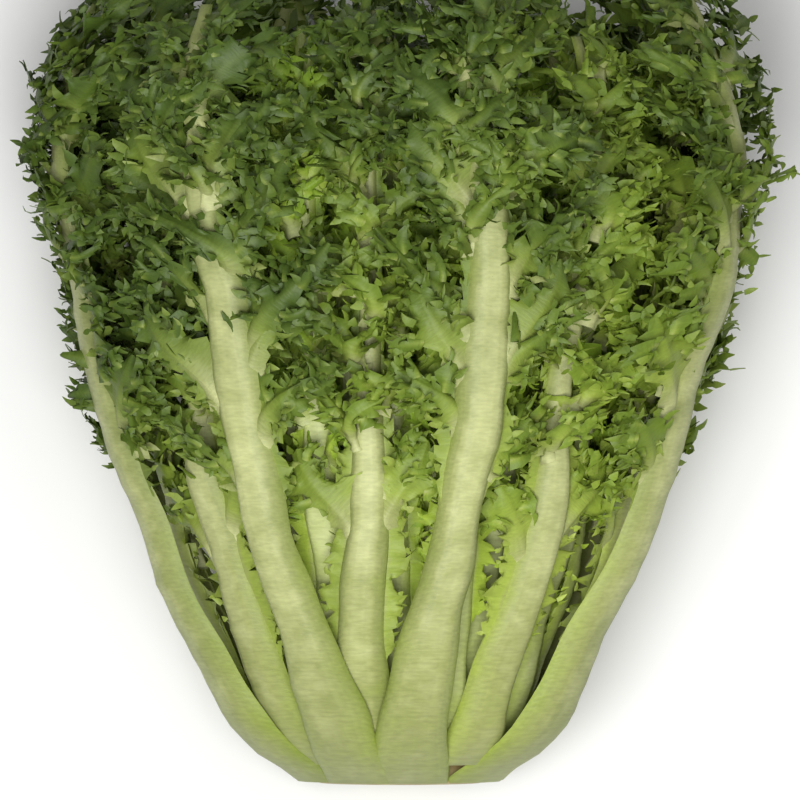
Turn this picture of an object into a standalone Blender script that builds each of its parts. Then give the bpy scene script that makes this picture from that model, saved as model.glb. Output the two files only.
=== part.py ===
"""Curly endive head, cut and lying on its side.

The head lies along +Y, from its cut butt to its leaf tips, and rests on the plane z = 0.
Its leaves stand in nested whorls around a short conical core. Every leaf is one closed solid: a stiff rib
low down that widens into a pad, which is the space that the leaf's curled blade fills.

Places inside the head are given in shell coordinates: a height up the axis, an angle around it, and a
share of the way from the axis to the outline, which is 0 on the axis and 1 on the head's surface.
Each whorl has its own share and each leaf its own stretch of angle, so no two leaves can meet.
"""

import math
import random

import bpy

MM = 0.001

# The outline from butt to tips: height up the axis, half width, half depth. Every leaf has an edge loop at
# each of these heights, so that the whorls stay nested between them.
OUTLINE = (
    (0.0, 24.0, 22.0),
    (5.0, 35.0, 31.0),
    (11.0, 43.0, 36.0),
    (14.0, 46.0, 38.0),
    (21.0, 51.0, 41.0),
    (28.0, 55.0, 43.5),
    (38.0, 60.0, 47.0),
    (55.0, 69.0, 51.0),
    (80.0, 79.0, 56.0),
    (110.0, 89.0, 60.0),
    (140.0, 96.0, 63.0),
    (165.0, 99.0, 64.0),
    (188.0, 97.0, 63.0),
    (206.0, 90.0, 58.0),
    (219.0, 80.0, 51.0),
    (228.0, 70.0, 44.0),
)

# The underside is pressed flat: the axis is this share of the half depth above the table.
AXIS_SHARE = 0.9
BUTT_LIFT = 4.0  # how far the butt end is held up, on top of that
LIFT_END = 80.0  # the height by which that has gone

# The cone of the core, as a share of the outline.
CORE_SHARE_AT_BUTT = 0.84
CORE_TAPER = 0.028  # lost for each millimetre of height
CORE_SIDES = 20
CORE_TIP_SHARE = 0.02

# Whorls from the outside in: name, share, height of the leaf bases, shortest and longest leaf, and the
# angle of each leaf's rib, from the +X side over the top.
WHORLS = (
    ("outer", 0.925, 0.0, (214.0, 228.0), (20, 76, 122, 166, 207, 247, 288, 332)),
    ("second", 0.785, 5.0, (206.0, 222.0), (8, 49, 98, 146, 187, 227, 267, 308, 340)),
    ("third", 0.645, 11.0, (194.0, 212.0), (25, 70, 115, 158, 200, 241, 282, 320, 352)),
    ("fourth", 0.51, 14.0, (176.0, 196.0), (6, 48, 92, 134, 174, 214, 256, 296, 334)),
    ("fifth", 0.38, 21.0, (150.0, 174.0), (24, 70, 116, 160, 204, 250, 294, 338)),
    ("inner", 0.255, 28.0, (120.0, 146.0), (10, 62, 112, 164, 214, 268, 320)),
    ("heart", 0.125, 28.0, (88.0, 112.0), (40, 130, 220, 310)),
)

# Across a leaf: place between its edges and between its faces, going round the section.
SECTION = (
    (-1.0, 0.0),
    (-0.62, 0.85),
    (0.0, 1.0),
    (0.62, 0.85),
    (1.0, 0.0),
    (0.62, -0.85),
    (0.0, -1.0),
    (-0.62, -0.85),
)

# Along a leaf: share of its length, half width, and half thickness as a share of the outline. The half
# width is the most that the leaf takes; its neighbours can leave it less.
LEAF_FORM = (
    (0.00, 11.0, 0.052),
    (0.12, 10.0, 0.050),
    (0.28, 12.0, 0.050),
    (0.45, 24.0, 0.056),
    (0.62, 34.0, 0.060),
    (0.86, 32.0, 0.060),
    (0.95, 24.0, 0.055),
    (1.00, 12.0, 0.036),
)
HEART_THINNING = 0.8  # the heart leaves' thickness against the others'

EDGE_GAP = 1.2  # between the edges of neighbours in a whorl
EDGE_SWAY = 2.6  # degrees by which the line between two neighbours sways
SWAY_WAVES = 1.3  # how often it sways over the head's length
SEED = 11

LEAF_COLOURS = {
    "outer": (0.085, 0.155, 0.022, 1),
    "second": (0.11, 0.20, 0.028, 1),
    "third": (0.14, 0.25, 0.035, 1),
    "fourth": (0.19, 0.31, 0.045, 1),
    "fifth": (0.26, 0.38, 0.06, 1),
    "inner": (0.36, 0.46, 0.09, 1),
    "heart": (0.48, 0.53, 0.16, 1),
}
CORE_COLOUR = (0.62, 0.60, 0.38, 1)
LEAF_ROUGHNESS = 0.45
CORE_ROUGHNESS = 0.6


def interpolated(table, at):
    """The row of numbers in a table sorted by its first column, read between its rows."""
    for low, high in zip(table, table[1:]):
        if at <= high[0]:
            share = max(0.0, (at - low[0]) / (high[0] - low[0]))
            return [a + share * (b - a) for a, b in zip(low[1:], high[1:])]
    return list(table[-1][1:])


def section_at(height):
    """Half width, half depth and height above the table of the head's axis."""
    half_width, half_depth = interpolated(OUTLINE, height)
    lift = BUTT_LIFT * max(0.0, 1.0 - height / LIFT_END)
    return half_width, half_depth, AXIS_SHARE * half_depth + lift


def place(height, degrees, share):
    """A shell coordinate as a point in metres, pressed flat where it would sink into the table."""
    half_width, half_depth, axis_z = section_at(height)
    angle = math.radians(degrees)
    x = share * half_width * math.cos(angle)
    z = axis_z + share * half_depth * math.sin(angle)
    return (x * MM, height * MM, max(z, 0.0) * MM)


def degrees_per_mm(height, degrees, share):
    """How much angle a millimetre around the whorl takes here."""
    half_width, half_depth, _ = section_at(height)
    angle = math.radians(degrees)
    radius = share * math.hypot(half_width * math.sin(angle), half_depth * math.cos(angle))
    return math.degrees(1.0 / radius)


def surface_material(name, colour, roughness):
    material = bpy.data.materials.new(name)
    material.use_nodes = True
    shader = material.node_tree.nodes["Principled BSDF"]
    shader.inputs["Base Color"].default_value = colour
    shader.inputs["Roughness"].default_value = roughness
    shader.inputs["Metallic"].default_value = 0.0
    return material


def lofted(name, loops, material):
    """One closed solid through a row of equal loops of points, with a flat cap on each end."""
    sides = len(loops[0])
    points = [point for loop in loops for point in loop]
    faces = [tuple(range(sides)), tuple(reversed(range(len(points) - sides, len(points))))]
    for row in range(len(loops) - 1):
        for side in range(sides):
            after = (side + 1) % sides
            low = row * sides
            high = low + sides
            faces.append((low + side, high + side, high + after, low + after))
    mesh = bpy.data.meshes.new(name)
    mesh.from_pydata(points, [], faces)
    mesh.materials.append(material)
    mesh.shade_smooth()
    mesh.set_sharp_from_angle(angle=math.radians(50))
    solid = bpy.data.objects.new(name, mesh)
    bpy.context.scene.collection.objects.link(solid)
    return solid


def build_core():
    """The short stem: a blunt cone from the flat cut face up between the innermost leaf bases."""
    material = surface_material("core", CORE_COLOUR, CORE_ROUGHNESS)
    top = (CORE_SHARE_AT_BUTT - CORE_TIP_SHARE) / CORE_TAPER
    heights = [row[0] for row in OUTLINE if row[0] < top] + [top]
    loops = []
    for height in heights:
        share = CORE_SHARE_AT_BUTT - CORE_TAPER * height
        loops.append([place(height, 360.0 * n / CORE_SIDES, share) for n in range(CORE_SIDES)])
    return lofted("core", loops, material)


def dividing_lines(angles, chance):
    """The lines between neighbours in a whorl, as (angle, phase of its sway)."""
    lines = []
    for here, after in zip(angles, angles[1:] + (angles[0] + 360,)):
        lines.append(((here + after) / 2, chance.uniform(0, 2 * math.pi)))
    return lines


def line_angle(line, height):
    angle, phase = line
    turn = 2 * math.pi * SWAY_WAVES * height / OUTLINE[-1][0]
    return angle + EDGE_SWAY * math.sin(turn + phase)


def leaf_loop(height, along, share, rib, before, after, thinning):
    """The section of a leaf at a height. The leaf lies between two dividing lines."""
    half_width, half_thickness = interpolated(LEAF_FORM, along)
    half_thickness *= thinning
    per_mm = degrees_per_mm(height, rib, share)
    first = max(rib - half_width * per_mm, before + EDGE_GAP / 2 * per_mm)
    last = min(rib + half_width * per_mm, after - EDGE_GAP / 2 * per_mm)
    middle = (first + last) / 2
    reach = (last - first) / 2
    return [
        place(height, middle + across * reach, share + through * half_thickness)
        for across, through in SECTION
    ]


def build_whorl(name, share, base, lengths, angles, chance):
    """All the leaves of one whorl, each between the lines that divide it from its neighbours."""
    material = surface_material(name + "_leaf", LEAF_COLOURS[name], LEAF_ROUGHNESS)
    thinning = HEART_THINNING if name == "heart" else 1.0
    lines = dividing_lines(angles, chance)
    for number, rib in enumerate(angles):
        tip = chance.uniform(*lengths)
        heights = [row[0] for row in OUTLINE if base <= row[0] < tip - 3.0] + [tip]
        before, after = lines[number - 1], lines[number]
        if number == 0:
            before = (before[0] - 360, before[1])
        loops = [
            leaf_loop(
                height,
                (height - base) / (tip - base),
                share,
                rib,
                line_angle(before, height),
                line_angle(after, height),
                thinning,
            )
            for height in heights
        ]
        lofted(f"{name}_leaf_{number + 1}", loops, material)


def stand_on_origin():
    """Moves every solid so that the middle of the head's underside is at the origin."""
    solids = [solid for solid in bpy.data.objects if solid.type == "MESH"]
    points = [vertex.co for solid in solids for vertex in solid.data.vertices]
    low = [min(point[axis] for point in points) for axis in range(3)]
    high = [max(point[axis] for point in points) for axis in range(3)]
    for solid in solids:
        solid.location = (-(low[0] + high[0]) / 2, -(low[1] + high[1]) / 2, -low[2])


def main():
    for leftover in list(bpy.data.objects):
        bpy.data.objects.remove(leftover)
    chance = random.Random(SEED)
    build_core()
    for name, share, base, lengths, angles in WHORLS:
        build_whorl(name, share, base, lengths, angles, chance)
    stand_on_origin()


main()
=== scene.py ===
import math

import bpy
import numpy as np
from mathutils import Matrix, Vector


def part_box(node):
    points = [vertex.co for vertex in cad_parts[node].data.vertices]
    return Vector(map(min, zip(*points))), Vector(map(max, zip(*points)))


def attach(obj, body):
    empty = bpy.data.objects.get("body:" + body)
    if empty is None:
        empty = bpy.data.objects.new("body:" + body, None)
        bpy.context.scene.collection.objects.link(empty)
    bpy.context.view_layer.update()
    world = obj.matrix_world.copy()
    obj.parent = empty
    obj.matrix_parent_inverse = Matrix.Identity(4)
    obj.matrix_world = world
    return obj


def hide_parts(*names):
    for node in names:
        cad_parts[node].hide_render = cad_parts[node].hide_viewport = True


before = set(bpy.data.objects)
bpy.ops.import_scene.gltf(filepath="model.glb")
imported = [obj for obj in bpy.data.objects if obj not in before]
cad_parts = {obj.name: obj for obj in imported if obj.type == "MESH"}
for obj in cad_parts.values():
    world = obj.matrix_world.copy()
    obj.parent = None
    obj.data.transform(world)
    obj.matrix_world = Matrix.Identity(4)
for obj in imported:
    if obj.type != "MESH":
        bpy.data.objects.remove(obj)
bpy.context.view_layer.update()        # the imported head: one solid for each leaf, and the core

metre = 0.001            # everything below is worked out in millimetres


head = {
    # height above the butt, half width, half depth
    "outline": (
        (0, 24, 22), (5, 35, 31), (11, 43, 36), (14, 46, 38), (21, 51, 41), (28, 55, 43.5),
        (38, 60, 47), (55, 69, 51), (80, 79, 56), (110, 89, 60), (140, 96, 63), (165, 99, 64),
        (188, 97, 63), (206, 90, 58), (219, 80, 51), (228, 70, 44),
    ),
    "axisShare": 0.9,     # the axis is this share of the half depth above the table
    "buttLift": 4.0,      # and the butt end is held up by this much more
    "liftEnd": 80.0,
    "softFloor": 5.0,     # leaves nearer the table than this are pressed flat by it
    "smoothing": 9,       # how many millimetres of the outline are averaged
}

# name, share of the way out from the axis, height of the leaf bases, and the angle of each rib
whorls = (
    ("outer", 0.925, 0.0, (20, 76, 122, 166, 207, 247, 288, 332)),
    ("second", 0.785, 5.0, (8, 49, 98, 146, 187, 227, 267, 308, 340)),
    ("third", 0.645, 11.0, (25, 70, 115, 158, 200, 241, 282, 320, 352)),
    ("fourth", 0.51, 14.0, (6, 48, 92, 134, 174, 214, 256, 296, 334)),
    ("fifth", 0.38, 21.0, (24, 70, 116, 160, 204, 250, 294, 338)),
    ("inner", 0.255, 28.0, (10, 62, 112, 164, 214, 268, 320)),
    ("heart", 0.125, 28.0, (40, 130, 220, 310)),
)

# ribs that lean on their way up: height and how many degrees they stand away from their own angle
ribLean = {
    "outer_leaf_1": ((20, 9), (65, 3), (107, 1), (130, -7), (165, -9), (192, 2)),
    "outer_leaf_2": ((20, 9), (60, 2), (90, -1), (130, -2), (180, 1)),
    "outer_leaf_3": ((20, -8), (50, -3), (90, 0), (130, 0), (155, 4), (180, 6)),
    "outer_leaf_4": ((20, -5), (60, -3), (100, 0), (200, 3)),
    "second_leaf_2": ((20, 5), (60, 0), (200, -2)),
    "second_leaf_3": ((20, 8), (70, 0), (200, -2)),
}

coreLow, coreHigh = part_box("core")
buttY = coreLow.y / metre
axisX = (coreLow.x + coreHigh.x) / 2 / metre

outlineHeights = np.arange(-20.0, 261.0)
window = np.ones(head["smoothing"]) / head["smoothing"]
outlineRows = np.array(head["outline"], float)


def smoothedOutline(column):
    dense = np.interp(outlineHeights, outlineRows[:, 0], outlineRows[:, column])
    padded = np.pad(dense, head["smoothing"] // 2, mode="edge")
    return np.convolve(padded, window, mode="valid")


halfWidths = smoothedOutline(1)
halfDepths = smoothedOutline(2)


def sectionAt(height):
    halfWidth = np.interp(height, outlineHeights, halfWidths)
    halfDepth = np.interp(height, outlineHeights, halfDepths)
    lift = head["buttLift"] * np.clip(1 - height / head["liftEnd"], 0, 1)
    return halfWidth, halfDepth, head["axisShare"] * halfDepth + lift


def wrapOnWhorl(points, leaf):
    # a leaf is drawn flat, as across, height and outwards in millimetres, and then laid on its whorl
    across, height, outwards = points[:, 0], points[:, 1], points[:, 2]
    halfWidth, halfDepth, axisZ = sectionAt(height)
    ribAngle = np.radians(leaf["angle"] + np.interp(height, leaf["leanAt"], leaf["lean"]))
    aroundRadius = leaf["share"] * np.hypot(halfWidth * np.sin(ribAngle), halfDepth * np.cos(ribAngle))
    angle = ribAngle - across / np.maximum(aroundRadius, 6.0)
    rayLength = np.hypot(halfWidth * np.cos(angle), halfDepth * np.sin(angle))
    share = np.maximum(leaf["share"] + outwards / rayLength, 0.02)
    x = axisX + share * halfWidth * np.cos(angle)
    z = axisZ + share * halfDepth * np.sin(angle)
    soft = head["softFloor"]
    pressed = soft * np.exp((np.minimum(z, soft) - soft) / soft)
    z = np.where(z < soft, pressed, z)
    return np.stack([x, buttY + height, z], axis=1) * metre


rib = {
    "stations": 56,
    "sides": 22,            # points round the rib, half of them on its outer face
    "hollow": 0.28,         # how far the channel on the inner face follows the outer face
    "fluteDepth": 0.05,     # of the rib's thickness
    "flutes": 3.6,
    "edge": 0.35,           # thickness left at the rib's edges, in millimetres
    "middleTone": 0.02,     # tone is 0 for the palest rib and 1 for a green margin
    "edgeTone": 0.24,       # these are added to it at the edges,
    "upperTone": 0.14,      # towards the tip,
    "lowPaintedShade": 0.13,        # towards the butt, as painted shade,
    "sheathTone": 0.03,     # and where the rib sheathes the core
}

blade = {
    "acrossSteps": 4,       # from a vein out to the margin
    "stationGap": 1.35,     # along a vein
    "lamina": 0.42,         # thickness of the green tissue
    "ruffleWave": 6.5,      # length of one ruffle along the margin
    "ruffleTurn": 1.9,      # how far the margin rolls up or down, in radians
    "shove": 1.9,           # how far the margin swings to and fro along the vein
    "toothGap": 3.2,
    "toothDepth": 0.28,     # share of the half width
    "lobeGap": 12.0,        # the margin's larger notches
    "lobeDepth": 0.34,
}

# what differs from whorl to whorl. Pairs are share of the leaf's length and a size in millimetres
forms = {
    "outer": {
        "ribWidth": ((0, 24), (0.08, 20), (0.2, 15), (0.32, 12.5), (0.5, 14), (0.6, 12), (0.75, 9),
                     (0.95, 3)),
        "ribThick": ((0, 6.0), (0.15, 5.5), (0.5, 4.0), (0.8, 2.4), (0.95, 1.2)),
        "lobesFrom": 0.36, "lobesTo": 0.93, "lobeStep": 11.0,
        "lobeLength": ((0.36, 26), (0.5, 38), (0.7, 40), (0.93, 26)),
        "lobeHalf": ((0.36, 4.5), (0.55, 5.5), (0.93, 5)),
        "tongueSize": 1.0, "covers": 0.7, "coverFrom": 0.6,
        "sink": 1.0, "sinkFrom": 0.72, "sideLobeGap": 6.5, "wingFrom": 0.30, "shade": 0.2,
    },
    "second": {
        "ribWidth": ((0, 20), (0.08, 16), (0.2, 12.5), (0.35, 11), (0.5, 7), (0.75, 4.5), (0.95, 2.5)),
        "ribThick": ((0, 5.0), (0.2, 4.4), (0.5, 3.4), (0.8, 2.2), (0.95, 1.1)),
        "lobesFrom": 0.34, "lobesTo": 0.93, "lobeStep": 11.0,
        "lobeLength": ((0.34, 22), (0.5, 32), (0.7, 34), (0.93, 24)),
        "lobeHalf": ((0.34, 4), (0.55, 5), (0.93, 4.5)),
        "tongueSize": 0.95, "covers": 0.9, "coverFrom": 0.38,
        "sink": 5.0, "sinkFrom": 0.36, "sideLobeGap": 7.5, "wingFrom": 0.10, "shade": 0.5,
    },
    "third": {
        "ribWidth": ((0, 16), (0.1, 12), (0.5, 8), (0.75, 5), (0.95, 2.5)),
        "ribThick": ((0, 4.0), (0.3, 3.4), (0.8, 1.8), (0.95, 1.0)),
        "lobesFrom": 0.30, "lobesTo": 0.93, "lobeStep": 12.0,
        "lobeLength": ((0.3, 17), (0.55, 27), (0.93, 20)),
        "lobeHalf": ((0.3, 3.5), (0.55, 4.5), (0.93, 4)),
        "tongueSize": 0.9, "covers": 0.7, "coverFrom": 0.38,
        "sink": 4.0, "sinkFrom": 0.38, "sideLobeGap": 10.0, "wingFrom": 0.10, "shade": 0.8,
    },
    "fourth": {
        "ribWidth": ((0, 12), (0.1, 9), (0.5, 6), (0.75, 4), (0.95, 2)),
        "ribThick": ((0, 3.2), (0.3, 2.8), (0.8, 1.5), (0.95, 0.9)),
        "lobesFrom": 0.28, "lobesTo": 0.93, "lobeStep": 13.0,
        "lobeLength": ((0.28, 13), (0.55, 21), (0.93, 16)),
        "lobeHalf": ((0.28, 3.2), (0.55, 4), (0.93, 3.5)),
        "tongueSize": 0.85, "covers": 0.5, "coverFrom": 0.35,
        "sink": 3.0, "sinkFrom": 0.4, "sideLobeGap": 13.0, "wingFrom": 0.10, "shade": 0.75,
    },
    "fifth": {
        "ribWidth": ((0, 9), (0.1, 7), (0.5, 4.5), (0.95, 1.8)),
        "ribThick": ((0, 2.6), (0.3, 2.2), (0.95, 0.8)),
        "lobesFrom": 0.26, "lobesTo": 0.93, "lobeStep": 14.0,
        "lobeLength": ((0.26, 11), (0.55, 17), (0.93, 13)),
        "lobeHalf": ((0.26, 3), (0.55, 3.5), (0.93, 3.2)),
        "tongueSize": 0.8, "covers": 0.0, "coverFrom": 1,
        "sink": 2.0, "sinkFrom": 0.4, "sideLobeGap": 0, "wingFrom": 0.12, "shade": 0.85,
    },
    "inner": {
        "ribWidth": ((0, 7), (0.1, 5.5), (0.5, 3.5), (0.95, 1.5)),
        "ribThick": ((0, 2.0), (0.3, 1.7), (0.95, 0.7)),
        "lobesFrom": 0.26, "lobesTo": 0.92, "lobeStep": 14.0,
        "lobeLength": ((0.26, 8), (0.55, 12), (0.92, 10)),
        "lobeHalf": ((0.26, 4), (0.55, 5), (0.92, 4.5)),
        "tongueSize": 0.7, "covers": 0.0, "coverFrom": 1,
        "sink": 1.0, "sinkFrom": 0.4, "sideLobeGap": 0, "wingFrom": 0.12, "shade": 0.92,
    },
    "heart": {
        "ribWidth": ((0, 5), (0.1, 4), (0.5, 2.6), (0.95, 1.2)),
        "ribThick": ((0, 1.6), (0.3, 1.3), (0.95, 0.6)),
        "lobesFrom": 0.28, "lobesTo": 0.92, "lobeStep": 15.0,
        "lobeLength": ((0.28, 6), (0.55, 9), (0.92, 8)),
        "lobeHalf": ((0.28, 3), (0.55, 4), (0.92, 3.5)),
        "tongueSize": 0.6, "covers": 0.0, "coverFrom": 1,
        "sink": 0.5, "sinkFrom": 0.4, "sideLobeGap": 0, "wingFrom": 0.14, "shade": 1.0,
    },
}


def read(pairs, at):
    rows = np.array(pairs, float)
    return np.interp(at, rows[:, 0], rows[:, 1])


def wander(chance, along, wave):
    # a smooth line that swings between about -1 and 1
    turns = 2 * np.pi * along / wave
    first, second, third = chance.uniform(0, 2 * np.pi, 3)
    swing = np.sin(turns + first) + 0.6 * np.sin(turns * 1.62 + second) + 0.4 * np.sin(turns * 0.55 + third)
    return swing / 1.5


def teeth(chance, along, gap):
    # saw teeth that point towards the tip, each of its own depth
    number = along / gap + chance.uniform(0, 1)
    depths = chance.uniform(0.35, 1.0, int(number[-1]) + 2)
    return depths[number.astype(int)] * (2 * (number % 1.0) ** 1.4 - 1)


def newLeaf(name, whorl, share, angle, base, tip, seed):
    lean = np.array(ribLean.get(name, ((0, 0), (228, 0))), float)
    return {
        "name": name, "whorl": whorl, "share": share, "angle": angle, "base": base, "length": tip - base,
        "leanAt": lean[:, 0], "lean": lean[:, 1],
        "chance": np.random.default_rng(seed),
        "points": [], "faces": [], "tones": [], "strips": [], "count": 0,
    }


def tubeFaces(first, stations, sides, known):
    # the faces of a closed tube whose points start at number first
    if (stations, sides) not in known:
        row, side = np.meshgrid(np.arange(stations - 1), np.arange(sides), indexing="ij")
        here = row * sides + side
        after = row * sides + (side + 1) % sides
        quads = np.stack([here, after, after + sides, here + sides], axis=-1).reshape(-1, 4)
        rim = np.arange(sides)
        beside = (rim + 1) % sides
        bottom, last = stations * sides, (stations - 1) * sides
        low = np.stack([np.full(sides, bottom), beside, rim], axis=1)
        high = np.stack([np.full(sides, bottom + 1), last + rim, last + beside], axis=1)
        known[(stations, sides)] = (quads, low, high)
    return tuple(part + first for part in known[(stations, sides)])


def addTube(leaf, rings, tones):
    # rings is stations x points x 3, closed at both ends by a fan round a middle point
    stations, sides, _ = rings.shape
    first = leaf["count"]
    ends = np.stack([rings[0].mean(axis=0), rings[-1].mean(axis=0)])
    leaf["points"].append(np.concatenate([rings.reshape(-1, 3), ends]))
    leaf["tones"].append(np.concatenate([tones.reshape(-1), [tones[0].mean(), tones[-1].mean()]]))
    leaf["faces"].append(tubeFaces(first, stations, sides, {}))
    length = np.linalg.norm(np.diff(rings, axis=0), axis=2).mean(axis=1).sum()
    girth = np.linalg.norm(rings - np.roll(rings, 1, axis=1), axis=2).sum(axis=1).max()
    leaf["strips"].append((girth, length + 2, stations, sides))
    leaf["count"] += stations * sides + 2


def ribWidthAt(leaf, form, at):
    return read(form["ribWidth"], at)


def addRib(leaf, form):
    # flat-topped and fluted outside, channelled inside, wide where it sheathes the core
    chance = leaf["chance"]
    stations, sides = rib["stations"], rib["sides"]
    at = np.linspace(0.0, 0.95, stations)
    half = ribWidthAt(leaf, form, at) / 2
    thick = read(form["ribThick"], at)
    height = leaf["base"] + at * leaf["length"]
    turn = 2 * np.pi * np.arange(sides) / sides
    place = np.cos(turn)
    place = (np.sign(place) * np.abs(place) ** 0.8)[None, :]
    outer = (np.sin(turn) >= -1e-6)[None, :]
    dome = np.clip(1 - np.abs(place) ** 2.6, 0, 1) ** 0.7
    drift = 0.5 * wander(chance, height, 120.0)[:, None]
    flutes = np.cos(rib["flutes"] * np.pi * place + drift) * (1 - place**4)
    out = np.where(outer, dome + rib["fluteDepth"] * flutes, rib["hollow"] * dome)
    leftEdge, rightEdge = (1 + 0.07 * wander(chance, height, wave) for wave in (37.0, 29.0))
    reach = np.where(place < 0, leftEdge[:, None], rightEdge[:, None]) * half[:, None]
    rings = np.empty((stations, sides, 3))
    rings[:, :, 0] = place * reach
    rings[:, :, 1] = height[:, None]
    rings[:, :, 2] = out * thick[:, None] + np.where(outer, 0, -rib["edge"])
    rings[:, :, 2] += 0.9 * wander(chance, height, 60.0)[:, None] - 0.4 * thick[:, None]
    rings[:, :, 2] += 0.25 * wander(chance, height, 9.0)[:, None] * dome
    rings[:, :, 2] -= form["sink"] * np.clip((at - form["sinkFrom"]) / 0.15, 0, 1)[:, None]
    sheath = np.clip(1 - at / 0.12, 0, 1)[:, None]
    # painted shade: the rib is made darker and greener towards the butt
    low = np.clip(1 - at / 0.34, 0, 1)[:, None]
    tones = rib["middleTone"] + rib["edgeTone"] * np.abs(place) ** 3 + rib["upperTone"] * at[:, None] ** 1.5
    tones = tones + rib["lowPaintedShade"] * low ** 0.7 + rib["sheathTone"] * sheath
    addTube(leaf, rings[:, ::-1], np.broadcast_to(tones, (stations, sides)).copy()[:, ::-1])


def addBlade(leaf, path, halves, veinHalf, veinThick, tones, ruffle=1.0, twist=None, droop=0.0, steps=None,
             wave=None):
    # a ruffled strip of tissue along a vein. halves gives its reach on the left and on the right
    chance = leaf["chance"]
    steps = steps or blade["acrossSteps"]
    wave = wave or blade["ruffleWave"]
    tangent = np.gradient(path, axis=0)
    tangent /= np.linalg.norm(tangent, axis=1)[:, None]
    up = np.broadcast_to(np.array([0.0, 0.0, 1.0]), tangent.shape)
    right = np.cross(tangent, up)
    right /= np.linalg.norm(right, axis=1)[:, None]
    up = np.cross(right, tangent)
    if twist is not None:
        c, s = np.cos(twist)[:, None], np.sin(twist)[:, None]
        right, up = c * right + s * up, c * up - s * right
    along = np.concatenate([[0], np.cumsum(np.linalg.norm(np.diff(path, axis=0), axis=1))])
    share = along / along[-1]
    out = np.linspace(0, 1, steps + 1)
    grown = np.sin(np.clip(share, 0, 1) * np.pi) ** 0.35
    tops, bottoms, toneSides, spines = [], [], [], []
    for side, half in zip((-1.0, 1.0), halves):
        reach = half * (1 + blade["lobeDepth"] * wander(chance, along, blade["lobeGap"]))
        reach = reach * (1 + blade["toothDepth"] * teeth(chance, along, blade["toothGap"]))
        reach = np.maximum(reach, 0.35)
        roll = ruffle * blade["ruffleTurn"] * wander(chance, along, wave) * grown
        angle = roll[:, None] * out[None, :] ** 1.7 + droop * out[None, :]
        middle = (angle[:, 1:] + angle[:, :-1]) / 2
        gap = reach[:, None] / steps
        onVein = np.zeros((len(path), 1))
        sideways = np.concatenate([onVein, np.cumsum(np.cos(middle) * gap, axis=1)], axis=1)
        raised = np.concatenate([onVein, np.cumsum(np.sin(middle) * gap, axis=1)], axis=1)
        shove = ruffle * blade["shove"] * wander(chance, along, wave * 0.8) * grown
        forward = shove[:, None] * out[None, :] ** 2
        spine = path[:, None, :] + side * sideways[:, :, None] * right[:, None, :]
        spine = spine + raised[:, :, None] * up[:, None, :] + forward[:, :, None] * tangent[:, None, :]
        spines.append(spine)
        normal = np.cos(angle)[:, :, None] * up[:, None, :]
        normal = normal - side * np.sin(angle)[:, :, None] * right[:, None, :]
        away = out[None, :] * reach[:, None]
        vein = np.exp(-((away / np.maximum(veinHalf, 0.2)[:, None]) ** 2))
        lens = np.sqrt(np.clip(1 - out[None, :] ** 4, 0, 1))
        thick = (blade["lamina"] / 2 + 0.5 * veinThick[:, None] * vein) * lens
        tops.append(spine + normal * (thick * (1 + 0.4 * vein))[:, :, None])
        bottoms.append(spine - normal * (thick * 0.7)[:, :, None])
        green = 1 - np.exp(-((away / (1.3 * np.maximum(veinHalf, 0.2)[:, None])) ** 2))
        pale = 0.2 + 0.65 * np.clip(share * 2, 0, 1)[:, None]
        toneSides.append(tones[:, None] * (pale + (1 - pale) * green))
    ring = np.concatenate([
        tops[0][:, ::-1], tops[1][:, 1:], bottoms[1][:, -2::-1], bottoms[0][:, 1:-1],
    ], axis=1)
    toneRing = np.concatenate([
        toneSides[0][:, ::-1], toneSides[1][:, 1:], toneSides[1][:, -2::-1], toneSides[0][:, 1:-1],
    ], axis=1)
    addTube(leaf, ring[:, ::-1], toneRing[:, ::-1])
    return spines


def bentPath(start, headings, rises, length, gap):
    # a vein that starts at a point and swings through the given headings, measured from the rib
    stations = max(int(length / gap), 7)
    at = np.linspace(0, 1, stations)
    heading = np.interp(at, np.linspace(0, 1, len(headings)), headings)
    rise = np.interp(at, np.linspace(0, 1, len(rises)), rises)
    step = length / (stations - 1)
    level = np.cos(rise)
    moves = np.stack([np.sin(heading) * level, np.cos(heading) * level, np.sin(rise)], axis=1) * step
    path = np.concatenate([[start], np.array(start) + np.cumsum((moves[1:] + moves[:-1]) / 2, axis=0)])
    return path, at


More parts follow.
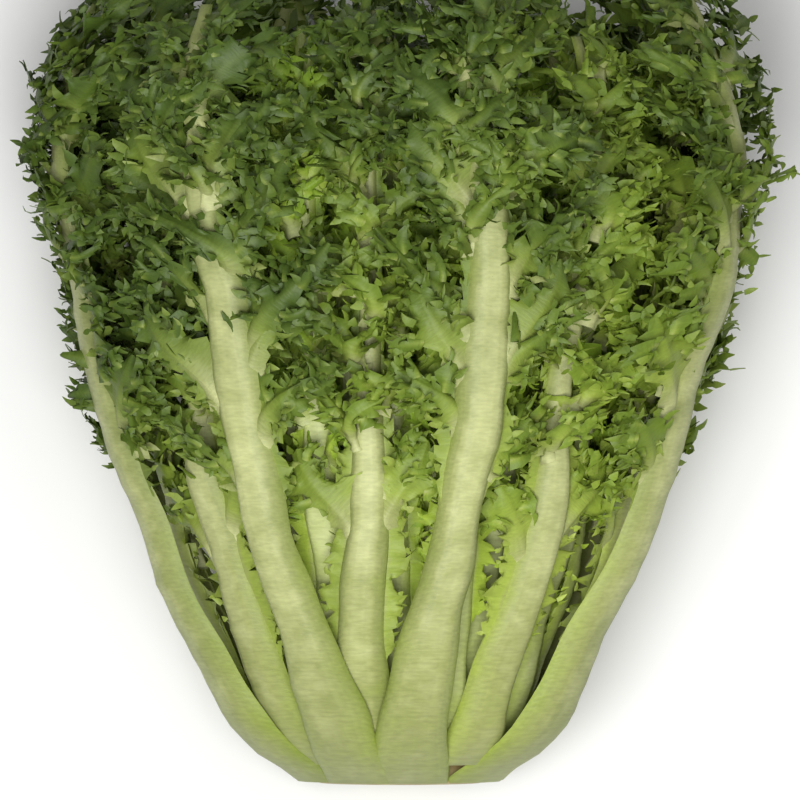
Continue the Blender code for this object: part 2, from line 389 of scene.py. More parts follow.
def addLobe(leaf, form, height, side, length, half, spreadOut, lift, cover=False):
    chance = leaf["chance"]
    at = (height - leaf["base"]) / leaf["length"]
    ribHalf = ribWidthAt(leaf, form, at) / 2
    ribThick = read(form["ribThick"], at)
    headings = side * np.array([0.3, 0.62, 1.05, 1.0, 0.6]) * spreadOut
    headings = headings + chance.normal(0, 0.16, 5) * np.array([0, 0.5, 1, 1.5, 2])
    rises = np.array([0.0, lift, 0.4 * lift, -0.9 * lift, -1.3 * lift]) + chance.normal(0, 0.15, 5)
    rises -= np.clip((at - 0.84) / 0.08, 0, 1) * np.array([0, 0.3, 0.7, 1.0, 1.2])
    start = (side * ribHalf * 0.5, height, -0.35 * ribThick)
    if cover:                                        # a lobe that folds back over the rib
        headings = -side * np.array([-0.6, 0.5, 1.0, 1.2, 0.9]) * spreadOut
        rises = np.array([0.7, 0.5, 0.1, -0.2, -0.3]) + chance.normal(0, 0.15, 5)
        start = (side * ribHalf * 0.8, height, 0.0)
    path, share = bentPath(start, headings, rises, length, blade["stationGap"])
    shape = np.sin(np.pi * np.clip(0.2 + 0.8 * share, 0, 1)) ** 0.5
    reach = half * np.maximum(shape, 0.15)
    veinHalf = 0.62 * ribHalf * (1 - share) ** 2.4 + 0.45
    veinThick = 0.55 * ribThick * (1 - share) ** 1.5 + 0.3
    tones = np.clip((0.5 if cover else 0.12) + 1.7 * share, 0, 1)
    twist = chance.normal(0, 0.35) + chance.normal(0, 0.8) * share
    left, right = chance.uniform(0.75, 1.25, 2)
    spines = addBlade(leaf, path, (reach * left, reach * right), veinHalf, veinThick, tones,
                      twist=twist * np.clip(share * 3, 0, 1), droop=chance.normal(-0.1, 0.3))
    frillMargin(leaf, spines, path, tones, form["tongueSize"])
    if form["sideLobeGap"]:
        addSideLobes(leaf, form, path, spines, length)


def addSideLobes(leaf, form, path, spines, length):
    # the lobe's own small lobes, which stand out from its margins and curl
    chance = leaf["chance"]
    for side, spine in zip((-1.0, 1.0), spines):
        spot = chance.uniform(3.0, 6.0)
        while spot < length - 3.0:
            index = min(int(spot / length * len(path)), len(path) - 2)
            share = spot / length
            out = spine[index, -1] - spine[index, 0]
            out /= np.linalg.norm(out) + 1e-9
            ahead = path[index + 1] - path[index - 1]
            ahead /= np.linalg.norm(ahead)
            aim = out + (0.5 + 0.9 * share) * ahead + chance.normal(0, 0.2, 3)
            heading = math.atan2(aim[0], aim[1])
            bend = side * chance.normal(-0.35, 0.6)
            tilt = chance.normal(0.25, 0.45)
            curl = chance.normal(-0.7, 0.8)
            small = chance.uniform(5.5, 11.0) * form["tongueSize"] * (1.1 - 0.4 * share)
            at = 0.55
            root = spine[index, 0] * (1 - at) + spine[index, -1] * at
            way, part = bentPath(root, heading + bend * np.array([0, 0.3, 0.8, 1.3]),
                                 tilt + curl * np.array([0, 0.4, 0.9, 1.3]), small, 1.15)
            half = chance.uniform(1.5, 2.7) * form["tongueSize"]
            reach = half * np.maximum(np.sin(np.pi * np.clip(0.25 + 0.75 * part, 0, 1)) ** 0.6, 0.15)
            tone = np.clip(0.45 + 2.0 * share + 0.3 * part, 0, 1)
            inner = addBlade(leaf, way, (reach, reach), 0.5 * (1 - part) + 0.2, 0.4 * (1 - part) + 0.1, tone,
                             ruffle=0.9, twist=chance.normal(0, 0.5) + chance.normal(0, 1.0) * part, steps=2)
            frillMargin(leaf, inner, way, tone, 0.8 * form["tongueSize"])
            spot += form["sideLobeGap"] * chance.uniform(0.7, 1.3)


def addLobes(leaf, form):
    # side lobes leave the rib by turns to the left and to the right
    chance = leaf["chance"]
    height = leaf["base"] + form["lobesFrom"] * leaf["length"]
    top = leaf["base"] + form["lobesTo"] * leaf["length"]
    side = 1.0 if chance.uniform() < 0.5 else -1.0
    while height < top:
        at = (height - leaf["base"]) / leaf["length"]
        length = read(form["lobeLength"], at) * chance.uniform(0.75, 1.2)
        half = read(form["lobeHalf"], at) * chance.uniform(0.7, 1.15)
        spreadOut = chance.uniform(0.85, 1.1) * (1.15 - 0.4 * at)
        addLobe(leaf, form, height, side, length, half, spreadOut, chance.uniform(-0.25, 0.45))
        if at > form["coverFrom"] and chance.uniform() < form["covers"]:
            addLobe(leaf, form, height + 4, side, 0.6 * length, 0.7 * half, spreadOut, 0.0, cover=True)
        height += form["lobeStep"] * chance.uniform(0.75, 1.2)
        side = -side


# thick pale side ribs: height above the butt, side, length, half width, and how far they spread
forks = {
    "outer_leaf_1": ((98, -1, 38, 3.4, 0.62), (116, 1, 34, 2.8, 0.55), (140, -1, 34, 2.8, 0.6)),
    "outer_leaf_2": ((104, -1, 38, 3.6, 0.52), (108, 1, 40, 3.6, 0.5), (150, -1, 34, 2.8, 0.55),
                     (155, 1, 34, 2.8, 0.6)),
    "outer_leaf_3": ((100, -1, 42, 3.8, 0.66), (106, 1, 36, 3.2, 0.45), (150, -1, 34, 2.8, 0.5),
                     (154, 1, 32, 2.6, 0.5)),
    "outer_leaf_4": ((92, 1, 32, 2.8, 0.6), (110, -1, 30, 2.6, 0.5)),
    "second_leaf_2": ((58, -1, 32, 3.0, 0.5), (64, 1, 32, 2.8, 0.55)),
    "second_leaf_3": ((66, -1, 34, 3.2, 0.62), (68, 1, 32, 3.0, 0.5)),
    "second_leaf_4": ((60, -1, 32, 3.0, 0.6), (66, 1, 30, 2.8, 0.5)),
}
usualForks = {
    "outer": ((96, -1, 38, 3.2, 0.6), (108, 1, 38, 3.0, 0.55), (148, -1, 32, 2.6, 0.55)),
    "second": ((62, -1, 30, 2.6, 0.55), (72, 1, 30, 2.6, 0.5)),
}


forkShape = {
    "stationGap": 1.2,
    "web": 10.0,            # widest that the web in the angle gets
    "leafyFrom": 0.45,      # share of the length from which it is frilled
    "leafyReach": 4.5,
    "veinThick": 3.0,
    "stiff": 0.12,          # ruffle of the bare part
}


def addFork(leaf, form, height, side, length, half, spreadOut):
    # bare and thick near the rib, with a web of tissue in the angle, and frilled towards its end
    chance = leaf["chance"]
    at = (height - leaf["base"]) / leaf["length"]
    ribHalf = ribWidthAt(leaf, form, at) / 2
    headings = side * spreadOut * np.array([0.55, 0.85, 1.15, 1.2, 1.0, 0.6])
    rises = np.array([0.1, 0.12, 0.14, 0.1, -0.1, -0.5]) + chance.normal(0, 0.05, 6)
    start = (side * 0.25 * ribHalf, height - 5, -0.45 * read(form["ribThick"], at))
    path, share = bentPath(start, headings, rises, length, forkShape["stationGap"])
    end = np.clip((1 - share) / 0.3, 0, 1) ** 0.6 * np.clip(share / 0.12, 0.15, 1)
    leafy = np.clip((share - forkShape["leafyFrom"]) / 0.2, 0, 1)
    web = np.clip((np.abs(path[:, 0]) - 0.4 * ribHalf) * 1.2, 1.2, forkShape["web"])
    inward = (web + (5.5 - web) * leafy) * end + 0.5
    outward = (0.75 * half * (1 - share) + 1.0 + forkShape["leafyReach"] * leafy) * end + 0.5
    halves = (inward, outward) if side > 0 else (outward, inward)
    tones = 0.08 + 0.9 * np.clip((share - 0.2) / 0.7, 0, 1)
    veinHalf = 0.8 * half * (1 - share) + 0.45
    veinThick = forkShape["veinThick"] * (1 - share) ** 1.3 + 0.3
    spines = addBlade(leaf, path, halves, veinHalf, veinThick, tones,
                      ruffle=forkShape["stiff"] + 0.85 * leafy, steps=6)
    middle = len(path) // 2
    ends = [spine[middle:] for spine in spines]
    frillMargin(leaf, ends, path[middle:], tones[middle:], form["tongueSize"])
    addSideLobes(leaf, form, path[middle:], ends, length / 2)


def addTip(leaf, form):
    # the lobe that ends the leaf
    chance = leaf["chance"]
    length = 0.13 * leaf["length"] + 12
    start = (0.0, leaf["base"] + leaf["length"] - length, -0.5)
    rises = np.array([0.0, -0.2, -0.8, -1.5]) + chance.uniform(-0.25, 0.25)
    path, share = bentPath(start, chance.uniform(-0.25, 0.25, 4), rises, length, blade["stationGap"])
    half = 1.3 * read(form["lobeHalf"], 0.9)
    reach = half * np.maximum(np.sin(np.pi * np.clip(0.15 + 0.85 * share, 0, 1)) ** 0.6, 0.12)
    veinHalf = 1.2 * (1 - share) + 0.4
    tones = 0.6 + 0.4 * share
    spines = addBlade(leaf, path, (reach, reach), veinHalf, 0.8 * (1 - share) + 0.3, tones)
    frillMargin(leaf, spines, path, tones, form["tongueSize"])
    addSideLobes(leaf, dict(form, sideLobeGap=6.5), path, spines, length)


wing = {
    "stationGap": 1.4,
    "reach": 2.2,           # how far the frill stands out from the rib
    "lowReach": 3.2,        # and how much further below the lobes
    "pleat": 4.0,           # length of one pleat
    "tone": 0.46,
}


def addWings(leaf, form):
    # pleated frills along both edges of the rib, below and between the lobes
    chance = leaf["chance"]
    for side in (-1.0, 1.0):
        start = form["wingFrom"] + chance.uniform(0, 0.05)
        length = (0.9 - start) * leaf["length"]
        stations = int(length / wing["stationGap"])
        at = np.linspace(start, 0.9, stations)
        height = leaf["base"] + at * leaf["length"]
        ribHalf = ribWidthAt(leaf, form, at) / 2
        sunk = form["sink"] * np.clip((at - form["sinkFrom"]) / 0.15, 0, 1)
        path = np.stack([side * ribHalf * 0.85, height, -0.3 * read(form["ribThick"], at) - sunk], axis=1)
        grow = np.clip((at - start) / 0.06, 0, 1) * np.clip((0.9 - at) / 0.08, 0, 1)
        low = 1 - np.clip((at - 0.36) / 0.1, 0, 1)
        reach = 0.3 + grow * (wing["reach"] + wing["lowReach"] * low) * form["tongueSize"]
        inner = np.full(stations, 0.4)
        halves = (inner, reach) if side > 0 else (reach, inner)
        tones = wing["tone"] + 0.3 * np.clip((at - 0.36) / 0.2, 0, 1)
        spines = addBlade(leaf, path, halves, np.full(stations, 0.4), np.full(stations, 0.2), tones,
                          ruffle=0.95, steps=3, wave=wing["pleat"])
        outer = spines[1] if side > 0 else spines[0]
        frillMargin(leaf, [outer], path, tones + 0.1, 0.6 * form["tongueSize"])


tongue = {
    "gap": 2.15,            # between neighbours along a margin
    "widths": (0.85, 1.0, 0.6, 0.12),       # from the root to the tip
    "length": (2.4, 5.2),
    "half": (0.65, 1.35),
    "thick": 0.22,
    "curl": 0.62,           # radians for each millimetre
    "paleTip": 0.3,         # how much tone is lost towards the tip
    "toneSpread": 0.12,
}


def turned(vectors, axes, angles):
    # each vector turned about its own axis, which stands square to it
    return vectors * np.cos(angles)[:, None] + np.cross(axes, vectors) * np.sin(angles)[:, None]


def addTongues(leaf, roots, aims, ups, tones, size=1.0):
    # the finest frills: narrow curled teeth, all of a lobe's at once
    chance = leaf["chance"]
    count, stations, sides = len(roots), len(tongue["widths"]), 3
    length = chance.uniform(*tongue["length"], count) * size
    half = chance.uniform(*tongue["half"], count) * size ** 0.5
    curl = tongue["curl"] * chance.normal(0, 1, count)
    yaw = 0.12 * chance.normal(0, 1, count)
    ahead = aims / np.linalg.norm(aims, axis=1)[:, None]
    right = np.cross(ahead, ups)
    right /= np.linalg.norm(right, axis=1)[:, None] + 1e-9
    up = np.cross(right, ahead)
    roll = chance.normal(0, 0.6, count)
    right, up = (right * np.cos(roll)[:, None] + up * np.sin(roll)[:, None],
                 up * np.cos(roll)[:, None] - right * np.sin(roll)[:, None])
    point = roots.copy()
    step = length / (stations - 1)
    rings = np.empty((count, stations, sides, 3))
    for n, share in enumerate(tongue["widths"]):
        wide = (half * share)[:, None]
        rings[:, n, 0] = point - right * wide
        rings[:, n, 1] = point + up * tongue["thick"]
        rings[:, n, 2] = point + right * wide
        point = point + ahead * step[:, None]
        bend = curl * step * (0.5 + n / stations)
        ahead, up = turned(ahead, right, bend), turned(up, right, bend)
        swing = yaw * step
        ahead, right = turned(ahead, up, swing), turned(right, up, swing)
    first = leaf["count"]
    ends = np.stack([rings[:, 0].mean(axis=1), rings[:, -1].mean(axis=1)], axis=1)
    block = np.concatenate([rings[:, :, ::-1].reshape(count, -1, 3), ends], axis=1)
    leaf["points"].append(block.reshape(-1, 3))
    each = stations * sides + 2
    shades = np.clip(tones + tongue["toneSpread"] * chance.normal(0, 1, count), 0.1, 1)
    fade = np.repeat(np.arange(stations) / stations, sides)
    fade = 1 - tongue["paleTip"] * np.append(fade, [0.0, 1.0])
    leaf["tones"].append((shades[:, None] * fade[None, :]).reshape(-1))
    shared = {}
    for n in range(count):
        low = tubeFaces(first + n * each, stations, sides, shared)
        leaf["faces"].append(low)
        leaf["strips"].append((4 * half[n], length[n] + 0.6, stations, sides))
    leaf["count"] += count * each


def frillMargin(leaf, spines, path, tones, size=1.0):
    # tongues all along both margins of a blade, pointing on outwards and a little ahead
    chance = leaf["chance"]
    for spine in spines:
        margin, inner = spine[:, -1], spine[:, -2]
        along = np.concatenate([[0], np.cumsum(np.linalg.norm(np.diff(path, axis=0), axis=1))])
        spots = np.arange(2.0, along[-1], tongue["gap"] / size ** 0.5)
        spots = spots + chance.uniform(-0.5, 0.5, len(spots))
        index = np.clip(np.searchsorted(along, spots), 1, len(path) - 2)
        out = margin[index] - inner[index]
        out /= np.linalg.norm(out, axis=1)[:, None] + 1e-9
        ahead = path[index + 1] - path[index - 1]
        ahead /= np.linalg.norm(ahead, axis=1)[:, None]
        up = np.cross(out, ahead)
        up *= np.sign(up[:, 2:3] + 1e-9)
        aim = out + 0.7 * ahead + chance.normal(0, 0.35, out.shape)
        aim[:, 2] += 0.15
        back = chance.uniform(0.0, 0.5, len(index))[:, None]
        roots = margin[index] - back * out
        at = (roots[:, 1] - leaf["base"]) / leaf["length"]
        form = forms[leaf["whorl"]]
        clear = np.abs(roots[:, 0]) > ribWidthAt(leaf, form, at) / 2 + 0.6
        clear |= (roots[:, 2] > 3.0) & (at > form["coverFrom"])
        if clear.any():
            addTongues(leaf, roots[clear], aim[clear], up[clear], tones[index][clear], size)


def packStrips(strips):
    # each part gets its own cell of a square, in rows from the bottom up
    area = sum(w * h for w, h, _, _ in strips)
    size = math.sqrt(area) * 1.12
    order = sorted(range(len(strips)), key=lambda n: -strips[n][1])
    while True:
        cells, x, y, rowHeight = {}, 0.0, 0.0, 0.0
        for n in order:
            width, height = strips[n][0], strips[n][1]
            if x + width > size:
                x, y, rowHeight = 0.0, y + rowHeight, 0.0
            cells[n] = (x, y)
            x += width
            rowHeight = max(rowHeight, height)
        if y + rowHeight <= size:
            return cells, size
        size *= 1.04


def tubeMaps(stations, sides, left, right, low, high, fan):
    # map coordinates for each corner of a tube's faces, unrolled into the given rectangle
    row, side = np.meshgrid(np.arange(stations - 1), np.arange(sides), indexing="ij")
    u = left + (right - left) * np.stack([side, side + 1, side + 1, side], axis=-1) / sides
    v = low + (high - low) * np.stack([row, row, row + 1, row + 1], axis=-1) / (stations - 1)
    rim = left + (right - left) * np.arange(sides + 1) / sides
    a, b = rim[:-1], rim[1:]
    middle = (a + b) / 2
    lowU, lowV = np.stack([middle, b, a], axis=1), np.tile([low - fan, low, low], (sides, 1))
    highU, highV = np.stack([middle, a, b], axis=1), np.tile([high + fan, high, high], (sides, 1))
    return np.concatenate([np.stack([x.reshape(-1), y.reshape(-1)], axis=1)
                           for x, y in ((u, v), (lowU, lowV), (highU, highV))])


def flatMaps(leaf):
    # one map with a cell for each part, and one in millimetres for the grain
    cells, size = packStrips(leaf["strips"])
    bake, grain = [], []
    for n, (width, height, stations, sides) in enumerate(leaf["strips"]):
        x, y = cells[n]
        cell = tubeMaps(stations, sides, x + 0.06 * width, x + 0.94 * width,
                        y + 0.05 * height, y + 0.95 * height, 0.03 * height)
        bake.append(cell / size)
        shift = 7.3 * n
        grain.append(tubeMaps(stations, sides, shift, shift + width, shift, shift + height, 0.3))
    return np.concatenate(bake), np.concatenate(grain)


ageingAndPaintedLight = {
    "from": 90.0,           # height above which the leaves get deeper in colour, partly their own colour and partly painted shade
    "over": 110.0,          # over this height
    "upwards": 0.42,        # they get this much deeper
    "paintedLightToRight": 0.26,        # and how much brighter the right edge is than the middle, which is painted light
    "halfWidth": 90.0,
}


def finishLeaf(leaf, material, shade):
    flat = np.concatenate(leaf["points"])
    points = wrapOnWhorl(flat, leaf)
    loops, totals = [], []
    for quads, low, high in leaf["faces"]:
        loops += [quads.reshape(-1), low.reshape(-1), high.reshape(-1)]
        totals += [np.full(len(quads), 4), np.full(len(low) + len(high), 3)]
    loops = np.concatenate(loops).astype(np.int32)
    totals = np.concatenate(totals).astype(np.int32)
    mesh = bpy.data.meshes.new(leaf["name"] + "_blade")
    mesh.vertices.add(len(points))
    mesh.vertices.foreach_set("co", points.astype(np.float32).reshape(-1))
    mesh.loops.add(len(loops))
    mesh.loops.foreach_set("vertex_index", loops)
    mesh.polygons.add(len(totals))
    starts = np.concatenate([[0], np.cumsum(totals)[:-1]]).astype(np.int32)
    mesh.polygons.foreach_set("loop_start", starts)
    mesh.update(calc_edges=True)
    for name, coordinates in zip(("OFBake", "grain"), flatMaps(leaf)):
        layer = mesh.uv_layers.new(name=name)
        layer.data.foreach_set("uv", coordinates.astype(np.float32).reshape(-1))
    # the leaves are brightest low down and to the right of the head: the deeper green towards the top is
    # partly their own colour and partly painted shade, and the brighter right side is painted light
    agesAndPaintedLight = shade - ageingAndPaintedLight["upwards"] * (flat[:, 1] - ageingAndPaintedLight["from"]) / ageingAndPaintedLight["over"]
    agesAndPaintedLight = agesAndPaintedLight + ageingAndPaintedLight["paintedLightToRight"] * (points[:, 0] / metre - axisX) / ageingAndPaintedLight["halfWidth"]
    agesAndPaintedLight = np.clip(agesAndPaintedLight, 0, 1)
    for name, values in (("tone", np.concatenate(leaf["tones"])), ("age", agesAndPaintedLight)):
        mesh.attributes.new(name, "FLOAT", "POINT").data.foreach_set("value", values.astype(np.float32))
    mesh.materials.append(material)
    mesh.shade_smooth()
    mesh.set_sharp_from_angle(angle=math.radians(70))
    piece = bpy.data.objects.new(leaf["name"] + "_blade", mesh)
    bpy.context.scene.collection.objects.link(piece)
    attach(piece, "root")
    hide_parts(leaf["name"])
    return int((totals - 2).sum())


def newMaterial(name):
    material = bpy.data.materials.new(name)
    material.use_nodes = True
    nodes = material.node_tree.nodes
    return material, nodes, material.node_tree.links, nodes["Principled BSDF"]


def addRamp(nodes, stops):
    ramp = nodes.new("ShaderNodeValToRGB")
    elements = ramp.color_ramp.elements
    while len(elements) < len(stops):
        elements.new(0.5)
    for element, (at, colour) in zip(elements, stops):
        element.position = at
        element.color = (*[toLinear(c) for c in colour], 1)
    return ramp


def toLinear(value):
    value /= 255
    return value / 12.92 if value <= 0.04045 else ((value + 0.055) / 1.055) ** 2.4


def stretchedNoise(nodes, links, source, scale, detail):
    mapping = nodes.new("ShaderNodeMapping")
    mapping.inputs["Scale"].default_value = scale
    links.new(source.outputs["UV"], mapping.inputs["Vector"])
    noise = nodes.new("ShaderNodeTexNoise")
    noise.inputs["Scale"].default_value = 1.0
    noise.inputs["Detail"].default_value = detail
    links.new(mapping.outputs["Vector"], noise.inputs["Vector"])
    return noise


finish = {
    "mottleScale": 140,                  # blotches a few millimetres wide
    "mottle": 0.28,                      # how far they shift the tone
    "patchScale": 32,                    # whole lobes lighter or darker
    "patch": 0.9,                        # how far they shift the age
    "wrinkleScale": (0.36, 1.25, 1),     # across and along, for each millimetre
    "strandScale": (0.55, 0.012, 1),
    "strandWeight": 0.35,
    "relief": (0.45, 0.9),               # the range of wrinkles and strands together
    "tintAndPaintedShade": (0.86, 1.10),                # and how much it darkens and lightens, partly as painted shade in the grooves and painted light on the crests
    "bump": 0.3,
    "bumpDepth": 0.0005,
    "specular": 0.28,
}


def leafMaterial(name, bright, deep, roughness):
    # tone runs from the pale rib to the green margin, and age from deep outer green to pale heart, with
    # painted shade towards the top of the head and painted light towards its right
    material, nodes, links, shader = newMaterial(name)
    tone = nodes.new("ShaderNodeAttribute")
    tone.attribute_name = "tone"
    age = nodes.new("ShaderNodeAttribute")
    age.attribute_name = "age"
    place = nodes.new("ShaderNodeTexCoord")

    mottle = nodes.new("ShaderNodeTexNoise")
    mottle.inputs["Scale"].default_value = finish["mottleScale"]
    mottle.inputs["Detail"].default_value = 4
    links.new(place.outputs["Object"], mottle.inputs["Vector"])
    spread = nodes.new("ShaderNodeMath")
    spread.operation = "MULTIPLY_ADD"
    spread.inputs[1].default_value = finish["mottle"]
    spread.inputs[2].default_value = -finish["mottle"] / 2
    links.new(mottle.outputs["Fac"], spread.inputs[0])
    mixedTone = nodes.new("ShaderNodeMath")
    mixedTone.operation = "ADD"
    links.new(tone.outputs["Fac"], mixedTone.inputs[0])
    links.new(spread.outputs[0], mixedTone.inputs[1])

    brightRamp = addRamp(nodes, bright)
    deepRamp = addRamp(nodes, deep)
    links.new(mixedTone.outputs[0], brightRamp.inputs["Fac"])
    links.new(mixedTone.outputs[0], deepRamp.inputs["Fac"])
    patches = nodes.new("ShaderNodeTexNoise")
    patches.inputs["Scale"].default_value = finish["patchScale"]
    links.new(place.outputs["Object"], patches.inputs["Vector"])
    patchShift = nodes.new("ShaderNodeMath")
    patchShift.operation = "MULTIPLY_ADD"
    patchShift.inputs[1].default_value = finish["patch"]
    patchShift.inputs[2].default_value = -finish["patch"] / 2
    links.new(patches.outputs["Fac"], patchShift.inputs[0])
    ageAndPaintedLightShift = nodes.new("ShaderNodeMath")
    ageAndPaintedLightShift.operation = "ADD"
    ageAndPaintedLightShift.use_clamp = True
    links.new(age.outputs["Fac"], ageAndPaintedLightShift.inputs[0])
    links.new(patchShift.outputs[0], ageAndPaintedLightShift.inputs[1])
    mix = nodes.new("ShaderNodeMix")
    mix.data_type = "RGBA"
    links.new(ageAndPaintedLightShift.outputs[0], mix.inputs["Factor"])
    links.new(deepRamp.outputs["Color"], mix.inputs["A"])
    links.new(brightRamp.outputs["Color"], mix.inputs["B"])

    # fine cross wrinkles and long strands, which show on the ribs
    grain = nodes.new("ShaderNodeUVMap")
    grain.uv_map = "grain"
    wrinkles = stretchedNoise(nodes, links, grain, finish["wrinkleScale"], 3)
    strands = stretchedNoise(nodes, links, grain, finish["strandScale"], 2)
    relief = nodes.new("ShaderNodeMath")
    relief.operation = "MULTIPLY_ADD"
    relief.inputs[1].default_value = finish["strandWeight"]
    links.new(strands.outputs["Fac"], relief.inputs[0])
    links.new(wrinkles.outputs["Fac"], relief.inputs[2])

    # the same strands and wrinkles tint the rib a little: streaks of its own colour, and painted shade in the
    # wrinkles' grooves with painted light on their crests
    tintAndPaintedShade = nodes.new("ShaderNodeMapRange")
    tintAndPaintedShade.inputs["From Min"].default_value = finish["relief"][0]
    tintAndPaintedShade.inputs["From Max"].default_value = finish["relief"][1]
    tintAndPaintedShade.inputs["To Min"].default_value = finish["tintAndPaintedShade"][0]
    tintAndPaintedShade.inputs["To Max"].default_value = finish["tintAndPaintedShade"][1]
    links.new(relief.outputs[0], tintAndPaintedShade.inputs["Value"])
    shaded = nodes.new("ShaderNodeVectorMath")
    shaded.operation = "SCALE"
    links.new(mix.outputs["Result"], shaded.inputs[0])
    links.new(tintAndPaintedShade.outputs["Result"], shaded.inputs["Scale"])
    links.new(shaded.outputs["Vector"], shader.inputs["Base Color"])

    bump = nodes.new("ShaderNodeBump")
    bump.inputs["Strength"].default_value = finish["bump"]
    bump.inputs["Distance"].default_value = finish["bumpDepth"]
    links.new(relief.outputs[0], bump.inputs["Height"])
    links.new(bump.outputs["Normal"], shader.inputs["Normal"])
    shader.inputs["Roughness"].default_value = roughness
    shader.inputs["Specular IOR Level"].default_value = finish["specular"]
    return material


def coreMaterial(middle):
    # the cut face is pale pith inside a darker ring, and browned towards its rim
    material, nodes, links, shader = newMaterial("cutCore")
    place = nodes.new("ShaderNodeTexCoord")
    noise = nodes.new("ShaderNodeTexNoise")
    noise.inputs["Scale"].default_value = 260
    noise.inputs["Detail"].default_value = 5
    links.new(place.outputs["Object"], noise.inputs["Vector"])
    centred = nodes.new("ShaderNodeVectorMath")
    centred.operation = "SUBTRACT"
    centred.inputs[1].default_value = middle
    links.new(place.outputs["Object"], centred.inputs[0])
    flat = nodes.new("ShaderNodeVectorMath")
    flat.operation = "MULTIPLY"
    flat.inputs[1].default_value = (1, 0, 1)
    links.new(centred.outputs["Vector"], flat.inputs[0])
    radius = nodes.new("ShaderNodeVectorMath")
    radius.operation = "LENGTH"
    links.new(flat.outputs["Vector"], radius.inputs[0])
    uneven = nodes.new("ShaderNodeMath")
    uneven.operation = "MULTIPLY_ADD"
    uneven.inputs[1].default_value = 0.007
    links.new(noise.outputs["Fac"], uneven.inputs[0])
    links.new(radius.outputs["Value"], uneven.inputs[2])
    share = nodes.new("ShaderNodeMapRange")
    share.inputs["From Max"].default_value = 0.028
    links.new(uneven.outputs[0], share.inputs["Value"])
    ramp = addRamp(nodes, core["rings"])
    links.new(share.outputs["Result"], ramp.inputs["Fac"])
    links.new(ramp.outputs["Color"], shader.inputs["Base Color"])
    bump = nodes.new("ShaderNodeBump")
    bump.inputs["Strength"].default_value = 0.5
    bump.inputs["Distance"].default_value = 0.0007
    links.new(noise.outputs["Fac"], bump.inputs["Height"])
    links.new(bump.outputs["Normal"], shader.inputs["Normal"])
    shader.inputs["Roughness"].default_value = 0.6
    return material


core = {
    "widest": 7.0,                     # height of its widest part above the butt
    "radii": (25.0, 22.0, 23.0),       # to the sides, along the head, and up
    "steps": ((2.2, 0.5), (2.6, -0.3), (3.0, 0.3), (2.6, -0.5), (2.4, 0.3), (2.4, 0.5)),
    "rings": ((0.0, (206, 202, 156)), (0.3, (198, 192, 140)), (0.42, (164, 150, 96)), (0.52, (208, 202, 154)),
              (0.8, (190, 182, 128)), (0.97, (146, 122, 74))),
}


greens = {
    "leaf_dark": {
        "bright": ((0.0, (188, 192, 136)), (0.16, (154, 160, 97)), (0.4, (160, 176, 76)),
                   (0.7, (146, 166, 58)), (1.0, (132, 156, 48))),
        "deep": ((0.0, (176, 180, 125)), (0.16, (135, 142, 86)), (0.4, (108, 124, 52)),
                 (0.7, (84, 102, 36)), (1.0, (64, 84, 28))),
        "roughness": 0.5,
    },
    "leaf_green": {
        "bright": ((0.0, (200, 206, 148)), (0.16, (176, 188, 110)), (0.4, (172, 194, 72)),
                   (0.7, (158, 186, 58)), (1.0, (146, 178, 52))),
        "deep": ((0.0, (180, 188, 130)), (0.16, (148, 160, 94)), (0.4, (122, 142, 52)),
                 (0.7, (98, 122, 38)), (1.0, (82, 106, 32))),
        "roughness": 0.5,
    },
    "leaf_light": {
        "bright": ((0.0, (218, 222, 170)), (0.2, (202, 214, 124)), (0.5, (180, 202, 78)),
                   (1.0, (160, 190, 62))),
        "deep": ((0.0, (196, 202, 146)), (0.2, (170, 186, 100)), (0.5, (136, 160, 58)),
                 (1.0, (108, 138, 40))),
        "roughness": 0.5,
    },
    "leaf_heart": {
        "bright": ((0.0, (230, 232, 186)), (0.2, (222, 228, 142)), (0.5, (206, 220, 100)),
                   (1.0, (190, 210, 84))),
        "deep": ((0.0, (210, 214, 162)), (0.2, (192, 204, 120)), (0.5, (168, 190, 80)),
                 (1.0, (146, 174, 62))),
        "roughness": 0.5,
    },
}
slotOf = {
    "outer": "leaf_dark", "second": "leaf_dark", "third": "leaf_green", "fourth": "leaf_green",
    "fifth": "leaf_light", "inner": "leaf_heart", "heart": "leaf_heart",
}


def buildLeaves():
    materials = {
        slotName: leafMaterial(slotName, look["bright"], look["deep"], look["roughness"])
        for slotName, look in greens.items()
    }
    for order, (whorl, share, base, angles) in enumerate(whorls):
        form = forms[whorl]
        triangles = 0
        for number, angle in enumerate(angles, 1):
            name = f"{whorl}_leaf_{number}"
            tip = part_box(name)[1].y / metre - buttY
            leaf = newLeaf(name, whorl, share, angle, base, tip, 100 * order + number)
            addRib(leaf, form)
            addWings(leaf, form)
            addLobes(leaf, form)
            for fork in forks.get(name, usualForks.get(whorl, ())):
                addFork(leaf, form, *fork)
            addTip(leaf, form)
            shade = form["shade"] + leaf["chance"].uniform(-0.08, 0.08)
            triangles += finishLeaf(leaf, materials[slotOf[whorl]], shade)
        print("leaves built:", whorl, len(angles), "about", triangles, "triangles")


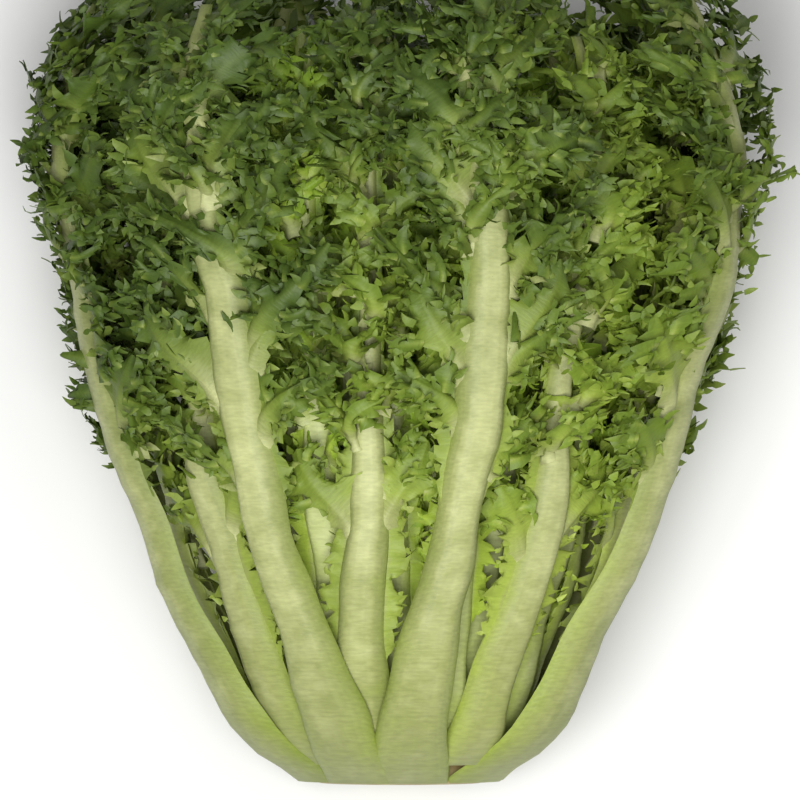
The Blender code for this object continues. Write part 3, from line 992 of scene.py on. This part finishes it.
def buildCore():
    # a bulb cut off flat at the butt. Each step of the cut face is an inset and how far it stands out
    _, _, axisZ = sectionAt(0.0)
    middle = (axisX * metre, buttY * metre, axisZ * metre)
    bpy.ops.object.select_all(action="DESELECT")
    bpy.ops.mesh.primitive_uv_sphere_add(segments=64, ring_count=40, radius=1.0)
    piece = bpy.context.object
    piece.name = "core_cut"
    piece.scale = [radius * metre for radius in (core["radii"][0], core["radii"][2], core["radii"][1])]
    piece.rotation_euler = (math.radians(90), 0, 0)
    piece.location = (middle[0], middle[1] + core["widest"] * metre, middle[2])
    bpy.ops.object.transform_apply(location=True, rotation=True, scale=True)
    bpy.ops.object.mode_set(mode="EDIT")
    bpy.ops.mesh.select_mode(type="VERT")
    bpy.ops.mesh.select_all(action="SELECT")
    bpy.ops.mesh.bisect(plane_co=middle, plane_no=(0, -1, 0), use_fill=True, clear_outer=True)
    bpy.ops.mesh.select_mode(type="FACE")
    for inset, stand in core["steps"]:
        bpy.ops.mesh.inset(thickness=inset * metre, depth=stand * metre)
    bpy.ops.mesh.poke()
    bpy.ops.mesh.select_all(action="SELECT")
    bpy.ops.mesh.normals_make_consistent(inside=False)
    bpy.ops.object.mode_set(mode="OBJECT")
    bpy.ops.object.shade_smooth()
    piece.data.set_sharp_from_angle(angle=math.radians(50))
    piece.data.materials.append(coreMaterial(middle))
    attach(piece, "root")
    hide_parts("core")
    print("core built:", len(piece.data.polygons), "faces")


studio = {
    "floor": (0.86, 0.86, 0.85, 1),
    "floorRoughness": 0.8,
    "cameraHeight": 3.0,       # metres above the table
    "fullSizeAt": 0.1,         # the height at which the picture is viewWidth wide
    "viewWidth": 0.208,
    "viewCentre": 101.5,       # millimetres above the butt
    "key": ((-0.06, -0.16, 0.62), 3.9, 0.32),      # place from the middle of the view, watts, size
    "fill": ((0.5, 0.5, 1.3), 5.0, 1.0),
    "sky": 0.29,
}


def addArea(name, middle, place, power, size):
    bpy.ops.object.light_add(type="AREA", location=(middle[0] + place[0], middle[1] + place[1], place[2]))
    lamp = bpy.context.object
    lamp.name = name
    lamp.data.energy = power
    lamp.data.size = size
    lamp.visible_camera = False
    aim = Vector((middle[0], middle[1], 0.05)) - lamp.location
    lamp.rotation_euler = aim.to_track_quat("-Z", "Y").to_euler()


def buildStudio():
    bpy.ops.object.select_all(action="DESELECT")
    bpy.ops.mesh.primitive_plane_add(size=20.0, location=(0, 0, 0))
    floor = bpy.context.object
    floor.name = "floor"
    material, _, _, shader = newMaterial("paleFloor")
    shader.inputs["Base Color"].default_value = studio["floor"]
    shader.inputs["Roughness"].default_value = studio["floorRoughness"]
    floor.data.materials.append(material)

    middle = (axisX * metre, (buttY + studio["viewCentre"]) * metre)
    camera = bpy.data.cameras.new("camera")
    camera.sensor_width = 36.0
    reach = studio["cameraHeight"] - studio["fullSizeAt"]
    camera.lens = camera.sensor_width * reach / studio["viewWidth"]
    holder = bpy.data.objects.new("camera", camera)
    bpy.context.scene.collection.objects.link(holder)
    holder.location = (middle[0], middle[1], studio["cameraHeight"])
    bpy.context.scene.camera = holder

    addArea("key", middle, *studio["key"])
    addArea("fill", middle, *studio["fill"])
    world = bpy.data.worlds.new("studioSky")
    bpy.context.scene.world = world
    world.use_nodes = True
    background = world.node_tree.nodes["Background"]
    background.inputs["Color"].default_value = (1, 1, 1, 1)
    background.inputs["Strength"].default_value = studio["sky"]
    bpy.context.scene.view_settings.view_transform = "Standard"
    print("studio ready")


buildLeaves()
buildCore()
buildStudio()
